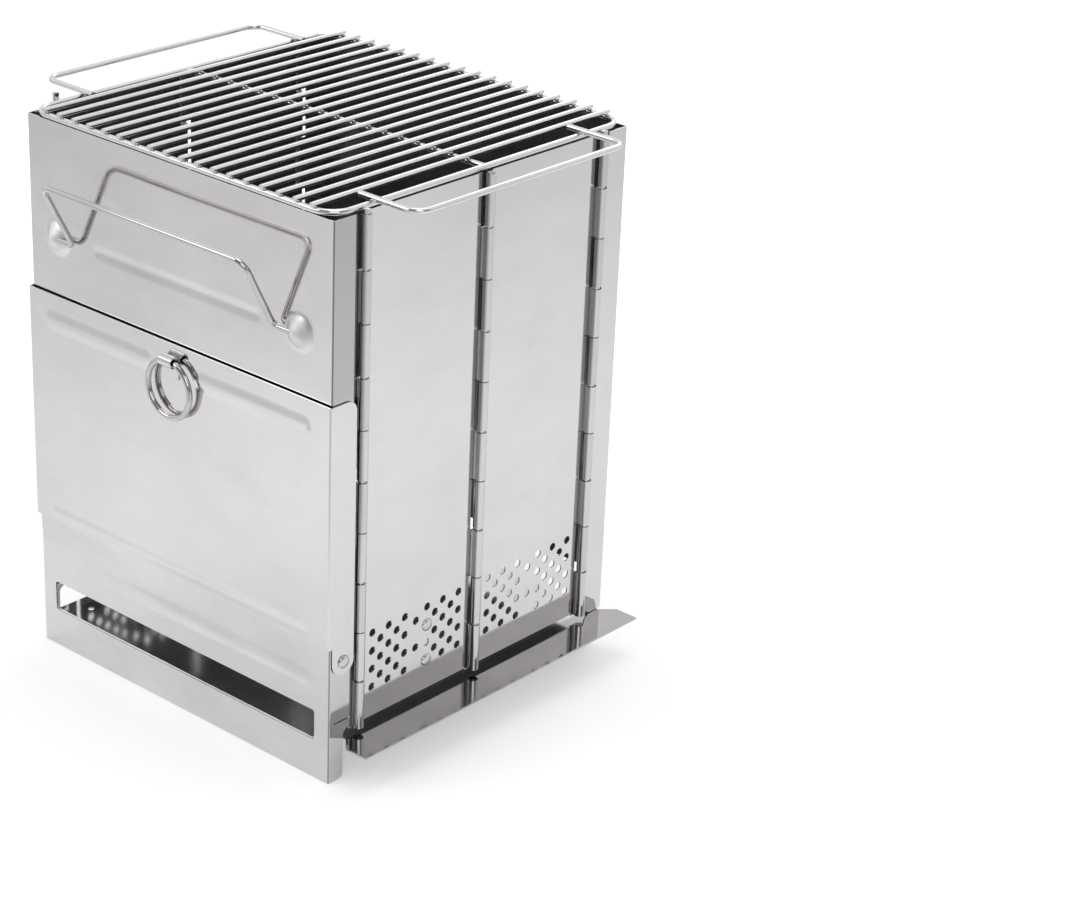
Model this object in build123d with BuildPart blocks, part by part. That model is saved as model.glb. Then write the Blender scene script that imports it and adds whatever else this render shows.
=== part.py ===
from build123d import *
import os
from math import atan2, cos, degrees, radians, sin

os.makedirs("parts", exist_ok=True)

# Folding camping wood stove, in millimetres, standing open on the ground at z = 0.
# The door side faces -Y and the right side wall faces +X.

# Overall body
body_width = 218.0
body_depth = 212.0
body_height = 300.0
sheet = 0.8

# Clearances
seat_gap = 0.3
touch_gap = 0.2
pin_clearance = 0.1

# Front and rear pans
pan_flange = 14.5
leg_flange = 10.3
leg_height = 27.0
leg_corner = 3.5
finger_corner = 1.0
finger_top = 32.5
finger_root = 3.5
finger_slit = 1.0
foot_corner = 3.0
edge_corner = 1.2
rear_corner = 6.0

# Openings of the front pan
slot_margin = 10.25
slot_bottom = 21.5
slot_top = 38.5
slot_corner = 1.5
rear_slot_top = 44.0
feed_margin = 25.0
feed_bottom = 92.0
feed_top_drop = 112.0
feed_corner = 8.0

# Pressed shapes of the front pan
bead_slope = 3.5
bead_depth = 0.75
bead_margin = 11.5
low_bead_z = 55.2
low_bead_width = 10.0
high_bead_width = 7.5
high_bead_inset = 11.8
dome_margin = 22.0
dome_base_radius = 10.0
dome_height = 7.0

# Piano hinges
pin_radius = 1.8
knuckle_radius = 2.8
sheet_to_pin = 1.95
knuckle_count = 10
hinge_bottom = 25.5
hinge_top_drop = 0.3
narrow_gap = 0.5
wide_gap = 1.4
slit_width = 1.0
pin_to_flange = 5.5
pin_stand = 2.3
middle_pin_stand = 0.2
pull_pin_stand = 6.3
strip_overlap = 10.5

# Side leaves
leaf_bottom = 26.8
air_hole_radius = 2.2
air_pitch_across = 5.9
air_pitch_up = 5.15
air_lowest = 43.5
air_skip = 8.2
rivet_head_radius = 3.6
rivet_head_height = 1.2
rivet_shank_radius = 1.9
stay_width = 9.0
stay_margin = 5.5

# Door
door_side_gap = 0.4
door_face_gap = 1.2
door_top_lap = 19.0
door_bottom = 76.8
door_flange_reach = 15.8
door_flange_corner = 6.0
door_leg_radius = 7.4
door_pivot_y = 8.6
door_pivot_z = 67.5
door_high_bead_drop = 14.4
door_high_bead_width = 10.5
door_high_bead_inner = 15.5
door_low_bead_rise = 5.6
door_low_bead_width = 7.5
door_bead_height = 0.75

# Ring pull on the door
ring_radius = 15.2
ring_wire = 1.6
clip_bore = 2.4
clip_wall = 0.8
clip_width = 9.0
clip_tail = 10.0
clip_drop = 7.9

# Carrying bail
bail_wire = 1.6
bail_to_dome = 14.7
bail_leg = 41.3
bail_lean = 28.2
bail_bend = 7.0
bail_foot_bend = 3.4
bail_pivot_out = 3.0
bail_pivot_drop = 61.0
bail_end_gap = 2.4

# Base plate
plate = 1.0
plate_neck_front = 11.2
plate_neck_x = 1.0
wing_reach = 22.0
wing_front = 4.1
wing_back = 4.5
wing_cut_x = 8.0
plate_rear_inset = 3.0
foot_inset = 4.0
plate_hole_x = 12.6
plate_hole_y = 12.0
plate_hole_radius = 1.7

# Grill rack
grill_wire = 1.6
grill_bar = 1.5
grill_side_inset = 2.6
grill_end_inset = 1.0
grill_corner = 12.0
weld_sink = 0.5
bar_count = 18
bar_margin = 11.6
bar_overhang = 0.8
grip_wire = 1.6
grip_reach = 27.0
grip_half_length = 75.0
grip_bend = 8.0
grip_stub = 8.0
grip_shift = 3.6

# Derived places
half_width = body_width / 2
slot_half_width = half_width - slot_margin
feed_half_width = half_width - feed_margin
feed_top = body_height - feed_top_drop
door_top = feed_top + door_top_lap
low_bead_length = body_width - 2 * bead_margin
dome_x = half_width - dome_margin
bail_half_width = dome_x - bail_to_dome
bail_end_x = dome_x - bail_end_gap
bail_pivot_z = body_height - bail_pivot_drop
high_bead_length = 2 * (bail_half_width - high_bead_inset)
clip_z = door_top - clip_drop
knuckle_pitch = (body_height - hinge_top_drop - hinge_bottom) / knuckle_count
wall_outer = half_width - sheet
wall_inner = wall_outer - sheet
pin_x = wall_outer + sheet_to_pin
bore_radius = pin_radius + pin_clearance
leaf_cut = knuckle_radius + slit_width

bail_pivot_to_grip_out = bail_leg * sin(radians(bail_lean))
bail_pivot_to_grip_up = bail_leg * cos(radians(bail_lean))
bail_reach = bail_pivot_out + bail_pivot_to_grip_out + bail_wire
front_y = (bail_reach - body_depth - wing_back) / 2
rear_y = front_y + body_depth
middle_y = (front_y + rear_y) / 2
front_pin_y = front_y + pan_flange + pin_to_flange
rear_pin_y = rear_y - pan_flange - pin_to_flange
plate_bottom = slot_bottom + touch_gap
plate_top = plate_bottom + plate
rear_bottom = plate_top + seat_gap


def facing_front(y):
    """Sketch plane at y whose normal points to the front."""
    return Plane.XZ.offset(-y)


def facing_back(y):
    """Sketch plane at y whose normal points to the back; its x runs to the left."""
    return Plane(origin=(0, y, 0), x_dir=(-1, 0, 0), z_dir=(0, 1, 0))


def facing_right(x):
    """Sketch plane at x whose normal points to the right."""
    return Plane.YZ.offset(x)


def knuckle_span(index):
    """Lowest and highest z of one knuckle; every second joint between knuckles is wide."""
    low_gap = wide_gap if index % 2 else narrow_gap
    high_gap = narrow_gap if index % 2 else wide_gap
    low = hinge_bottom + index * knuckle_pitch + low_gap / 2
    high = hinge_bottom + (index + 1) * knuckle_pitch - high_gap / 2
    return low, high


def add_knuckles(side, pin_y, toward, first):
    """Roll every second knuckle of a sheet that lies from the pin toward +Y or -Y."""
    for index in range(first, knuckle_count, 2):
        low, high = knuckle_span(index)
        tab_length = leaf_cut + sheet
        with BuildSketch(Plane.XY.offset(low)) as knuckle:
            with Locations((side * pin_x, pin_y)):
                Circle(knuckle_radius)
            with Locations((side * (wall_outer + wall_inner) / 2, pin_y + toward * tab_length / 2)):
                Rectangle(sheet, tab_length)
            with Locations((side * pin_x, pin_y)):
                Circle(bore_radius, mode=Mode.SUBTRACT)
        extrude(knuckle.sketch, amount=high - low)


def press_bead(outer, inner, x, z, length, width, height):
    """Press a rib out of a sheet: added on the outer plane and hollowed from the inner plane."""
    for plane, mode in ((outer, Mode.ADD), (inner, Mode.SUBTRACT)):
        with BuildSketch(plane) as rib:
            with Locations((x, z)):
                SlotOverall(length, width)
        extrude(rib.sketch, amount=height, taper=degrees(atan2(bead_slope, height)), mode=mode)


def corners(sketch, across, low, high):
    """Corners of a flange outline at one depth, between two heights."""
    return sketch.vertices().filter_by(
        lambda corner: abs(corner.X - across) < sheet / 4 and low <= corner.Y <= high
    )


def bend_edges(part, x, y):
    """Upright outer bend edges of a pan, at the corners (x, y) and (-x, y)."""
    return (
        part.edges()
        .filter_by(Axis.Z)
        .filter_by(lambda edge: abs(edge.center().Y - y) < sheet / 4)
        .filter_by(lambda edge: abs(abs(edge.center().X) - x) < sheet / 4)
    )


def hinge_pin(side, pin_y, label, stand):
    """Wire pin through all knuckles of one hinge."""
    top = hinge_bottom + knuckle_count * knuckle_pitch + stand
    with BuildPart() as pin:
        with BuildSketch(Plane.XY.offset(hinge_bottom)):
            with Locations((side * pin_x, pin_y)):
                Circle(pin_radius)
        extrude(amount=top - hinge_bottom)
        chamfer(pin.edges().group_by(Axis.Z)[-1], pin_radius / 4)
    pin.part.label = label
    export_step(pin.part, f"parts/{label}.step")


def pierce_for_door_rivet(side):
    """Rivet hole of the door leg through whatever lies at the side wall."""
    with BuildSketch(facing_right(side * (wall_inner + half_width) / 2)) as pierced:
        with Locations((front_y + door_pivot_y, door_pivot_z)):
            Circle(rivet_shank_radius + pin_clearance)
    extrude(pierced.sketch, amount=2 * sheet, both=True, mode=Mode.SUBTRACT)


def hinge_strip(side, pin_y, toward, first, bottom, label):
    """Strip welded inside a pan flange, with the knuckles that the pan carries."""
    strip_end = pin_y + toward * leaf_cut
    strip_start = pin_y + toward * (pin_to_flange + strip_overlap)
    top = hinge_bottom + knuckle_count * knuckle_pitch
    with BuildPart() as strip:
        with BuildSketch(Plane.XY.offset(bottom)):
            with Locations((side * (wall_outer + wall_inner) / 2, (strip_start + strip_end) / 2)):
                Rectangle(sheet, abs(strip_start - strip_end))
        extrude(amount=top - bottom)
        add_knuckles(side, pin_y, toward, first)
        if toward < 0:
            pierce_for_door_rivet(side)
    strip.part.label = label
    export_step(strip.part, f"parts/{label}.step")


def side_leaf(side, low_pin_y, high_pin_y, first_low, first_high, label):
    """One side leaf between two hinges, with its field of air holes."""
    leaf_middle = (low_pin_y + high_pin_y) / 2
    leaf_length = high_pin_y - low_pin_y - 2 * leaf_cut
    with BuildPart() as leaf:
        with BuildSketch(Plane.XY.offset(leaf_bottom)):
            with Locations((side * (wall_outer + wall_inner) / 2, leaf_middle)):
                Rectangle(sheet, leaf_length)
        extrude(amount=body_height - leaf_bottom)
        add_knuckles(side, low_pin_y, 1, first_low)
        add_knuckles(side, high_pin_y, -1, first_high)
        with BuildSketch(facing_right(side * wall_outer)) as holes:
            with Locations(*air_hole_places(leaf_middle)):
                Circle(air_hole_radius)
        extrude(holes.sketch, amount=2 * sheet, both=True, mode=Mode.SUBTRACT)
    leaf.part.label = label
    export_step(leaf.part, f"parts/{label}.step")


def air_field_start(leaf_middle):
    """First column of air holes of the leaf whose middle is given."""
    return leaf_middle - air_skip - 4 * air_pitch_across


def air_hole_places(leaf_middle):
    """Staggered field of air holes: two groups of five columns and a short one between."""
    places = []
    start = air_field_start(leaf_middle)
    group_width = 4 * air_pitch_across
    for group in range(2):
        for column in range(5):
            y = start + group * (group_width + 2 * air_skip) + column * air_pitch_across
            count = 3 if column % 2 else 4
            offset = air_pitch_up if column % 2 else 0
            for row in range(count):
                places.append((y, air_lowest + offset + 2 * row * air_pitch_up))
    for row in range(2):
        places.append((start + group_width + air_skip, air_lowest + air_pitch_up * (2 + 3 * row)))
    return places


def stay_rivet_places(leaf_middle):
    """Two rivets that hold the inner stay of a front leaf, in place of two air holes."""
    y = leaf_middle + air_skip
    return [(y, air_lowest), (y, air_lowest + 4 * air_pitch_up)]


# Front pan: a sheet with turned side flanges, feed opening, ash slot and pressed shapes
with BuildPart() as front_frame:
    with BuildSketch(facing_front(front_y + sheet)):
        with Locations((0, body_height / 2)):
            Rectangle(body_width, body_height)
        with Locations((0, (slot_bottom + slot_top) / 2)):
            RectangleRounded(
                2 * slot_half_width, slot_top - slot_bottom, slot_corner, mode=Mode.SUBTRACT
            )
        with Locations((0, (feed_bottom + feed_top) / 2)):
            RectangleRounded(
                2 * feed_half_width, feed_top - feed_bottom, feed_corner, mode=Mode.SUBTRACT
            )
    extrude(amount=sheet)
    for side in (-1, 1):
        with BuildSketch(facing_right(side * half_width - (side + 1) / 2 * sheet)) as flange:
            with BuildLine():
                Polyline(
                    (front_y, 0),
                    (front_y, body_height),
                    (front_y + pan_flange, body_height),
                    (front_y + pan_flange, finger_top + finger_slit),
                    (front_y + finger_root, finger_top + finger_slit),
                    (front_y + finger_root, finger_top),
                    (front_y + pan_flange, finger_top),
                    (front_y + pan_flange, leg_height + finger_corner),
                    (front_y + leg_flange, leg_height),
                    (front_y + leg_flange, 0),
                    close=True,
                )
            make_face()
            fillet(corners(flange, front_y + leg_flange, leg_height, leg_height), leg_corner)
            fillet(corners(flange, front_y + leg_flange, 0, 0), foot_corner)
        extrude(amount=sheet)
        pierce_for_door_rivet(side)
    with BuildSketch(Plane.XY):
        with Locations((0, front_y + (leg_flange - foot_corner) / 2)):
            Rectangle(body_width, leg_flange - foot_corner)
    extrude(amount=sheet)
    fillet(bend_edges(front_frame, half_width, front_y), edge_corner)
    pan_back = facing_back(front_y + sheet)
    pan_front = facing_back(front_y)
    press_bead(pan_back, pan_front, 0, low_bead_z, low_bead_length, low_bead_width, bead_depth)
    press_bead(pan_back, pan_front, 0, bail_pivot_z, high_bead_length, high_bead_width, bead_depth)
    dome_outer = (dome_base_radius**2 + dome_height**2) / (2 * dome_height)
    dome_sunk = dome_outer - dome_height
    for side in (-1, 1):
        with Locations((side * dome_x, front_y + dome_sunk, bail_pivot_z)):
            Sphere(dome_outer)
            Sphere(dome_outer - sheet, mode=Mode.SUBTRACT)
    with BuildSketch(facing_front(front_y + sheet)):
        for side in (-1, 1):
            with Locations((side * dome_x, bail_pivot_z)):
                Circle(dome_outer + sheet)
    extrude(amount=-2 * dome_outer, mode=Mode.SUBTRACT)
    with BuildSketch(facing_right(-dome_x)):
        with Locations((front_y - bail_pivot_out, bail_pivot_z)):
            Circle(bail_wire + pin_clearance)
    extrude(amount=2 * dome_x, mode=Mode.SUBTRACT)
front_frame.part.label = "front_frame"
export_step(front_frame.part, "parts/front_frame.step")

# Rear pan: plain sheet with turned side flanges; it ends just above the base plate, with an air slot
with BuildPart() as rear_panel:
    with BuildSketch(facing_front(rear_y)):
        with Locations((0, (body_height + rear_bottom) / 2)):
            Rectangle(body_width, body_height - rear_bottom)
        with Locations((0, rear_bottom)):
            RectangleRounded(
                2 * slot_half_width, 2 * (rear_slot_top - rear_bottom), slot_corner, mode=Mode.SUBTRACT
            )
    extrude(amount=sheet)
    for side in (-1, 1):
        with BuildSketch(facing_right(side * half_width - (side + 1) / 2 * sheet)) as flange:
            with Locations((rear_y - pan_flange / 2, (body_height + rear_bottom) / 2)):
                Rectangle(pan_flange, body_height - rear_bottom)
            fillet(corners(flange, rear_y - pan_flange, rear_bottom, rear_bottom), rear_corner)
        extrude(amount=sheet)
    fillet(bend_edges(rear_panel, half_width, rear_y), edge_corner)
rear_panel.part.label = "rear_panel"
export_step(rear_panel.part, "parts/rear_panel.step")

# Hinge strips inside the flanges of both pans, the four side leaves and the six pins
for side, side_name in ((-1, "left"), (1, "right")):
    hinge_strip(side, front_pin_y, -1, 0, finger_top + finger_slit, f"front_hinge_strip_{side_name}")
    hinge_strip(side, rear_pin_y, 1, 1, rear_bottom + rear_corner, f"rear_hinge_strip_{side_name}")
    side_leaf(side, front_pin_y, middle_y, 1, 0, f"{side_name}_front_leaf")
    side_leaf(side, middle_y, rear_pin_y, 1, 0, f"{side_name}_rear_leaf")
    front_stand = pull_pin_stand if side < 0 else pin_stand
    hinge_pin(side, front_pin_y, f"front_hinge_pin_{side_name}", front_stand)
    hinge_pin(side, middle_y, f"middle_hinge_pin_{side_name}", middle_pin_stand)
    hinge_pin(side, rear_pin_y, f"rear_hinge_pin_{side_name}", pin_stand)

# Inner stay on each front leaf: a short strap behind the air holes, held by two rivets
for side, side_name in ((-1, "left"), (1, "right")):
    stay_rivets = stay_rivet_places((front_pin_y + middle_y) / 2)
    stay_low = stay_rivets[0][1] - stay_margin
    stay_high = stay_rivets[1][1] + stay_margin
    stay_outer = wall_inner
    with BuildPart() as leaf_stay:
        with BuildSketch(facing_right(side * stay_outer - (side + 1) / 2 * sheet)):
            with Locations((stay_rivets[0][0], (stay_low + stay_high) / 2)):
                SlotOverall(stay_high - stay_low, stay_width, rotation=90)
            with Locations(*stay_rivets):
                Circle(air_hole_radius, mode=Mode.SUBTRACT)
        extrude(amount=sheet)
    leaf_stay.part.label = f"leaf_stay_{side_name}"
    export_step(leaf_stay.part, f"parts/leaf_stay_{side_name}.step")
    with BuildPart() as leaf_rivets:
        with BuildSketch(facing_right(side * wall_outer)) as outer_heads:
            with Locations(*stay_rivets):
                Circle(rivet_head_radius)
        extrude(outer_heads.sketch, amount=side * rivet_head_height)
        with BuildSketch(facing_right(side * (stay_outer - sheet))) as shanks:
            with Locations(*stay_rivets):
                Circle(air_hole_radius - pin_clearance)
        extrude(shanks.sketch, amount=side * 2 * sheet)
        with BuildSketch(facing_right(side * (stay_outer - sheet))) as inner_heads:
            with Locations(*stay_rivets):
                Circle(rivet_head_radius)
        extrude(inner_heads.sketch, amount=-side * rivet_head_height)
    leaf_rivets.part.label = f"leaf_rivets_{side_name}"
    export_step(leaf_rivets.part, f"parts/leaf_rivets_{side_name}.step")

# Door: a pan that wraps the front pan and turns on two rivets near its lower corners
door_half = half_width + door_side_gap + sheet
door_face_y = front_y - door_face_gap - sheet
with BuildPart() as door:
    with BuildSketch(facing_front(door_face_y + sheet)):
        with Locations((0, (door_top + door_bottom) / 2)):
            Rectangle(2 * door_half, door_top - door_bottom)
    extrude(amount=sheet)
    for side in (-1, 1):
        with BuildSketch(facing_right(side * door_half - (side + 1) / 2 * sheet)) as flange:
            with BuildLine():
                Polyline(
                    (door_face_y, door_bottom),
                    (door_face_y, door_top),
                    (front_y + door_flange_reach, door_top),
                    (front_y + door_flange_reach, door_pivot_z),
                    (front_y + door_pivot_y - door_leg_radius, door_pivot_z),
                    (front_y + door_pivot_y - door_leg_radius, door_bottom),
                    close=True,
                )
            make_face()
            fillet(corners(flange, front_y + door_flange_reach, door_top, door_top), door_flange_corner)
            with Locations((front_y + door_pivot_y, door_pivot_z)):
                Circle(door_leg_radius)
                Circle(rivet_shank_radius + pin_clearance, mode=Mode.SUBTRACT)
        extrude(amount=sheet)
    fillet(bend_edges(door, door_half, door_face_y), edge_corner)
    door_front = facing_front(door_face_y)
    door_back = facing_front(door_face_y + sheet)
    low_z = door_bottom + door_low_bead_rise
    press_bead(door_front, door_back, 0, low_z, low_bead_length, door_low_bead_width, door_bead_height)
    high_z = door_top - door_high_bead_drop
    high_length = low_bead_length / 2 - door_high_bead_inner
    for x in (-high_length / 2 - door_high_bead_inner, high_length / 2 + door_high_bead_inner):
        press_bead(door_front, door_back, x, high_z, high_length, door_high_bead_width, door_bead_height)
door.part.label = "door"
export_step(door.part, "parts/door.step")

# Door rivets: one through each door leg and pan flange
with BuildPart() as door_rivets:
    for side in (-1, 1):
        with BuildSketch(facing_right(side * (door_half + touch_gap))) as outer_head:
            with Locations((front_y + door_pivot_y, door_pivot_z)):
                Circle(rivet_head_radius)
        extrude(outer_head.sketch, amount=side * rivet_head_height)
        with BuildSketch(facing_right(side * wall_inner)) as shank:
            with Locations((front_y + door_pivot_y, door_pivot_z)):
                Circle(rivet_shank_radius)
        extrude(shank.sketch, amount=side * (door_half + touch_gap - wall_inner))
        with BuildSketch(facing_right(side * wall_inner)) as inner_head:
            with Locations((front_y + door_pivot_y, door_pivot_z)):
                Circle(rivet_head_radius)
        extrude(inner_head.sketch, amount=-side * rivet_head_height)
door_rivets.part.label = "door_rivets"
export_step(door_rivets.part, "parts/door_rivets.step")

# Ring clip: a folded strap that holds the pull ring against the door
clip_radius = clip_bore + clip_wall
clip_y = door_face_y - clip_radius
with BuildPart() as ring_clip:
    with BuildSketch(facing_right(-clip_width / 2)):
        with Locations((clip_y, clip_z)):
            Circle(clip_radius)
        with Locations((door_face_y - clip_wall / 2, clip_z - clip_tail / 2)):
            Rectangle(clip_wall, clip_tail)
        with Locations((clip_y, clip_z)):
            Circle(clip_bore, mode=Mode.SUBTRACT)
    extrude(amount=clip_width)
ring_clip.part.label = "ring_clip"
export_step(ring_clip.part, "parts/ring_clip.step")

# Pull ring, hanging from the clip
with BuildPart() as door_ring:
    with BuildSketch(facing_right(0)):
        with Locations((clip_y, clip_z)):
            Circle(ring_wire)
    revolve(axis=Axis((0, clip_y, clip_z - ring_radius), (0, 1, 0)), revolution_arc=360)
door_ring.part.label = "door_ring"
export_step(door_ring.part, "parts/door_ring.step")

# Carrying bail: one bent wire whose ends turn outwards into the pressed domes
bail_foot_y = front_y - bail_pivot_out
bail_grip_y = bail_foot_y - bail_pivot_to_grip_out
bail_grip_z = bail_pivot_z + bail_pivot_to_grip_up
with BuildPart() as carry_handle:
    with BuildLine() as bail_path:
        FilletPolyline(
            (-bail_end_x, bail_foot_y, bail_pivot_z),
            (-bail_half_width, bail_foot_y, bail_pivot_z),
            (-bail_half_width, bail_grip_y, bail_grip_z),
            (bail_half_width, bail_grip_y, bail_grip_z),
            (bail_half_width, bail_foot_y, bail_pivot_z),
            (bail_end_x, bail_foot_y, bail_pivot_z),
            radius=[bail_foot_bend, bail_bend, bail_bend, bail_foot_bend],
        )
    with BuildSketch(Plane(origin=bail_path.line @ 0, z_dir=bail_path.line % 0)):
        Circle(bail_wire)
    sweep()
carry_handle.part.label = "carry_handle"
export_step(carry_handle.part, "parts/carry_handle.step")

# Base plate: rests in the front slot and on its own turned-down rear edge; the wing lies outside
plate_tongue = slot_half_width - slot_corner - touch_gap
plate_left = -plate_tongue
plate_rear = rear_y - plate_rear_inset
wing_outer = half_width + wing_reach
neck_x = half_width + plate_neck_x
cut_x = half_width + wing_cut_x
cut_run = cut_x - neck_x
with BuildPart() as base_plate:
    with BuildSketch(Plane.XY.offset(plate_bottom)):
        with BuildLine():
            Polyline(
                (plate_left, front_y + touch_gap),
                (plate_tongue, front_y + touch_gap),
                (plate_tongue, front_y + plate_neck_front),
                (neck_x, front_y + plate_neck_front),
                (cut_x, front_y + wing_front),
                (wing_outer, front_y + wing_front),
                (wing_outer, rear_y + wing_back),
                (cut_x, rear_y + wing_back),
                (neck_x, rear_y + wing_back - cut_run),
                (neck_x, plate_rear),
                (plate_left, plate_rear),
                close=True,
            )
        make_face()
        with Locations((plate_left + plate_hole_x, front_y + plate_hole_y)):
            Circle(plate_hole_radius, mode=Mode.SUBTRACT)
    extrude(amount=plate)
    foot_width = half_width - foot_inset - plate_left
    with BuildSketch(Plane.XY):
        with Locations((plate_left + foot_width / 2, plate_rear - plate / 2)):
            Rectangle(foot_width, plate)
    extrude(amount=plate_top)
base_plate.part.label = "base_plate"
export_step(base_plate.part, "parts/base_plate.step")

# Grill rack: outer wire frame, welded bars, one cross bar and two grip handles
grill_z = body_height + touch_gap + grill_wire
bar_z = grill_z + grill_wire + grill_bar - weld_sink
grip_z = grill_z + grill_wire + grip_wire - weld_sink
grill_half_x = half_width - grill_side_inset
grill_half_y = body_depth / 2 - grill_end_inset
with BuildPart() as grill_frame:
    with BuildLine() as grill_path:
        FilletPolyline(
            (grill_half_x, middle_y - grill_half_y, grill_z),
            (grill_half_x, middle_y + grill_half_y, grill_z),
            (-grill_half_x, middle_y + grill_half_y, grill_z),
            (-grill_half_x, middle_y - grill_half_y, grill_z),
            radius=grill_corner,
            close=True,
        )
    with BuildSketch(Plane(origin=grill_path.line @ 0, z_dir=grill_path.line % 0)):
        Circle(grill_wire)
    sweep()
grill_frame.part.label = "grill_frame"
export_step(grill_frame.part, "parts/grill_frame.step")

bar_pitch = 2 * (grill_half_x - bar_margin) / (bar_count - 1)
with BuildPart() as grill_bars:
    with BuildSketch(facing_front(rear_y + bar_overhang)):
        for index in range(bar_count):
            with Locations(((index - (bar_count - 1) / 2) * bar_pitch, bar_z)):
                Circle(grill_bar)
    extrude(amount=body_depth + 2 * bar_overhang)
grill_bars.part.label = "grill_bars"
export_step(grill_bars.part, "parts/grill_bars.step")

cross_half = grill_half_x - grill_wire + weld_sink
with BuildPart() as grill_cross_bar:
    with BuildSketch(facing_right(-cross_half)):
        with Locations((middle_y, grill_z)):
            Circle(grill_bar)
    extrude(amount=2 * cross_half)
grill_cross_bar.part.label = "grill_cross_bar"
export_step(grill_cross_bar.part, "parts/grill_cross_bar.step")

for side, side_name in ((-1, "left"), (1, "right")):
    grip_outer = half_width + grip_reach
    grip_end = grill_half_x - grip_stub
    grip_middle = middle_y - side * grip_shift
    with BuildPart() as grill_handle:
        with BuildLine() as grip_path:
            FilletPolyline(
                (side * grip_end, grip_middle - grip_half_length, grip_z),
                (side * grip_outer, grip_middle - grip_half_length, grip_z),
                (side * grip_outer, grip_middle + grip_half_length, grip_z),
                (side * grip_end, grip_middle + grip_half_length, grip_z),
                radius=grip_bend,
            )
        with BuildSketch(Plane(origin=grip_path.line @ 0, z_dir=grip_path.line % 0)):
            Circle(grip_wire)
        sweep()
    grill_handle.part.label = f"grill_handle_{side_name}"
    export_step(grill_handle.part, f"parts/grill_handle_{side_name}.step")
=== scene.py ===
import math

import bmesh
import bpy
from mathutils import Matrix, Vector


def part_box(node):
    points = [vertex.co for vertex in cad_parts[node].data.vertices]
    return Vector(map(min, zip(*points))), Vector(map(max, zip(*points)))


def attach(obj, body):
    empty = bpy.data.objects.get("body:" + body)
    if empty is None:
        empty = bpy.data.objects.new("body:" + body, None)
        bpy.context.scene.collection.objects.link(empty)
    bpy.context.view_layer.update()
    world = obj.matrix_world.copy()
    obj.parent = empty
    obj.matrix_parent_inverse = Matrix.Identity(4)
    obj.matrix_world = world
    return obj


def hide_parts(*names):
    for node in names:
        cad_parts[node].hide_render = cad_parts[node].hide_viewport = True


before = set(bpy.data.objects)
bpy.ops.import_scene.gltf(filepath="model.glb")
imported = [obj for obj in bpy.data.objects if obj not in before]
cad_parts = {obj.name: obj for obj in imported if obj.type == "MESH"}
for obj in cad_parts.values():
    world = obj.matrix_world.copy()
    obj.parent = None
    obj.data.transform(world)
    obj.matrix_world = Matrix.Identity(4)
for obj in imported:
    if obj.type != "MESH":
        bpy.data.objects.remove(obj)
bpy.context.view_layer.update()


# ---------------------------------------------------------------------------------------------
# Front pan. One sheet of polished stainless steel, folded back at both sides, with the feed
# opening and the ash slot cut out and two ribs and two domes pressed in. It carries everything.
# ---------------------------------------------------------------------------------------------

class Tone:
    """One socket of a finish's nodes. Sums and products of tones add Math nodes."""

    def __init__(self, tree, socket=None):
        self.tree = tree
        self.socket = socket

    def add(self, kind, settings=(), sockets=(), output=0):
        """Add any node: first its settings, then the values or links of its sockets."""
        node = self.tree.nodes.new(kind)
        for name, value in dict(settings).items():
            setattr(node, name, value)
        for name, value in dict(sockets).items():
            if isinstance(value, Tone):
                self.tree.links.new(value.socket, node.inputs[name])
            else:
                node.inputs[name].default_value = value
        return Tone(self.tree, node.outputs[output])

    def parts(self, vector, *which):
        """Some of the three numbers of a vector."""
        split = self.add("ShaderNodeSeparateXYZ", {}, {0: vector}).socket.node
        return [Tone(self.tree, split.outputs[part]) for part in which]

    def length(self, vector):
        """The length of a vector."""
        return self.add("ShaderNodeVectorMath", {"operation": "LENGTH"}, {0: vector}, "Value")

    def close(self, kind, shader):
        """End the tree in an output node."""
        self.tree.links.new(shader.socket, self.tree.nodes.new(kind).inputs["Surface"])

    def math(self, operation, first, second=0.0):
        """One Math node; first and second are tones or numbers."""
        return self.add("ShaderNodeMath", {"operation": operation}, {0: first, 1: second})

    def __add__(self, other):
        return self.math("ADD", self, other)

    def __radd__(self, other):
        return self.math("ADD", other, self)

    def __sub__(self, other):
        return self.math("SUBTRACT", self, other)

    def __rsub__(self, other):
        return self.math("SUBTRACT", other, self)

    def __mul__(self, other):
        return self.math("MULTIPLY", self, other)

    def __rmul__(self, other):
        return self.math("MULTIPLY", other, self)

    def __gt__(self, other):
        return self.math("GREATER_THAN", self, other)

    def __lt__(self, other):
        return self.math("LESS_THAN", self, other)

    def __abs__(self):
        return self.math("ABSOLUTE", self)

    def limit(self, low=0.0, high=1.0):
        return self.math("MINIMUM", self.math("MAXIMUM", self, low), high)

    def ramp(self, start, end):
        """0 at start and 1 at end, straight between them and level outside; end may be lower."""
        return ((self - start) * (1.0 / (end - start))).limit()


def blend_colours(tone, share, plain, other):
    """Colour that goes from plain to other as share goes from 0 to 1; both are tones or numbers."""
    plain, other = (shade if isinstance(shade, Tone) else (*shade, 1.0) for shade in (plain, other))
    return tone.add("ShaderNodeMix", {"data_type": "RGBA"}, {0: share, 6: plain, 7: other}, 2)


def stretched_grain(tone, place, scale, detail=2.0, rough=0.5):
    """Noise between 0 and 1 on object coordinates, stretched by a scale for each axis."""
    moved = tone.add("ShaderNodeMapping", {}, {"Vector": place, "Scale": scale})
    return tone.add(
        "ShaderNodeTexNoise",
        {},
        {"Vector": moved, "Scale": 1.0, "Detail": detail, "Roughness": rough},
    )


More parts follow.
